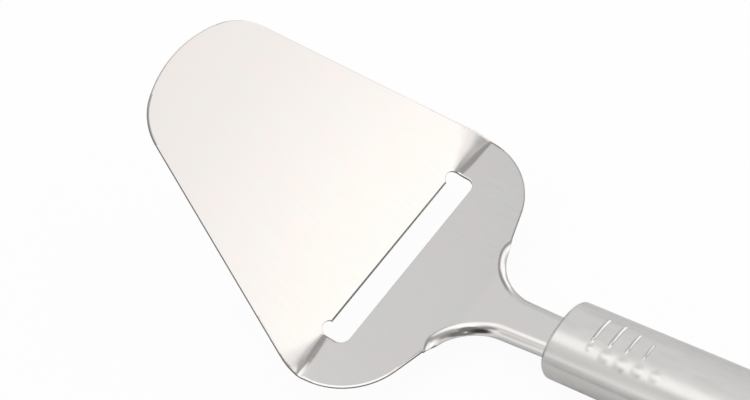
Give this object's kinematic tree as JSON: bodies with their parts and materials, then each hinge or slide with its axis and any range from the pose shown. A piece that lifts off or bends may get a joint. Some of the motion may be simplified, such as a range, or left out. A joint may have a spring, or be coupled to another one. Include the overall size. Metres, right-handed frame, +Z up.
{
  "type": "cheese slicer",
  "caption": "Stainless cheese slicer: bent wedge-shaped sheet blade with a long cutting slot, flanged neck and hollow oval handle with pressed thumb ribs and a hanging eye.",
  "frame": {"origin": "under the middle of the overall length, on the surface that the handle lies on", "axes": "+X across the blade, +Y along the handle towards the paddle's tip, +Z up with the thumb ribs on top"},
  "size_m": [0.0886, 0.2258, 0.0695],
  "materials": {
    "bright_sheet": "bright rolled sheet with faint brushing",
    "satin_tube": "satin",
    "disc_steel": "satin",
    "cap_steel": "satin"
  },
  "bodies": {
    "root": {"blade_plate": "bright_sheet", "handle_tube": "satin_tube", "front_disc": "disc_steel", "end_cap": "cap_steel"}
  },
  "joints": []
}
